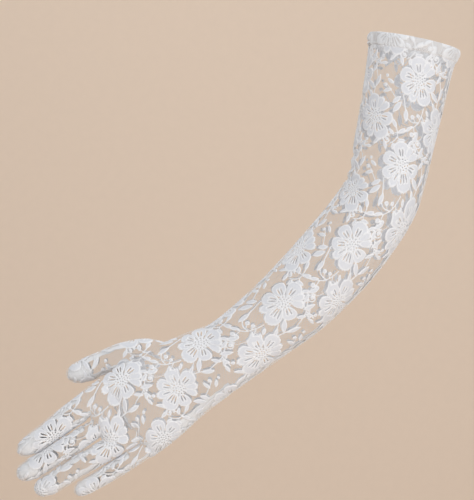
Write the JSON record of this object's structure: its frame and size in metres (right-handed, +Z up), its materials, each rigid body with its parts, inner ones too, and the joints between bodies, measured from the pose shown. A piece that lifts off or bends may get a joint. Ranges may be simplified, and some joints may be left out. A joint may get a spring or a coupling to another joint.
{
  "type": "elbow-length lace glove",
  "caption": "Elbow-length stretch lace glove for a left hand, worn on a bent arm: back and palm panels of pierced floral lace, seamed, with a gathered hem round the arm opening.",
  "frame": {"origin": "middle of the arm opening, at the top edge of the hem", "axes": "+Z up along the glove as the bent arm holds it, from the fingertips to the opening; +Y from the back of the hand to the palm; +X from the hand towards the elbow"},
  "size_m": [0.3732, 0.0798, 0.3905],
  "materials": {
    "lace": "white stretch raschel lace, flowers and leafy vines on a fine net",
    "hem_lace": "the same lace turned in over narrow elastic",
    "seam_allowance": "two cut edges of the lace, pressed flat and overlocked"
  },
  "bodies": {
    "root": {"back_panel": "lace", "palm_panel": "lace", "hem_band": "hem_lace", "inner_arm_seam": "seam_allowance", "outer_arm_seam": "seam_allowance", "thumb_seam": "seam_allowance", "index_finger_seam": "seam_allowance", "middle_finger_seam": "seam_allowance", "ring_finger_seam": "seam_allowance", "little_finger_seam": "seam_allowance"}
  },
  "joints": []
}
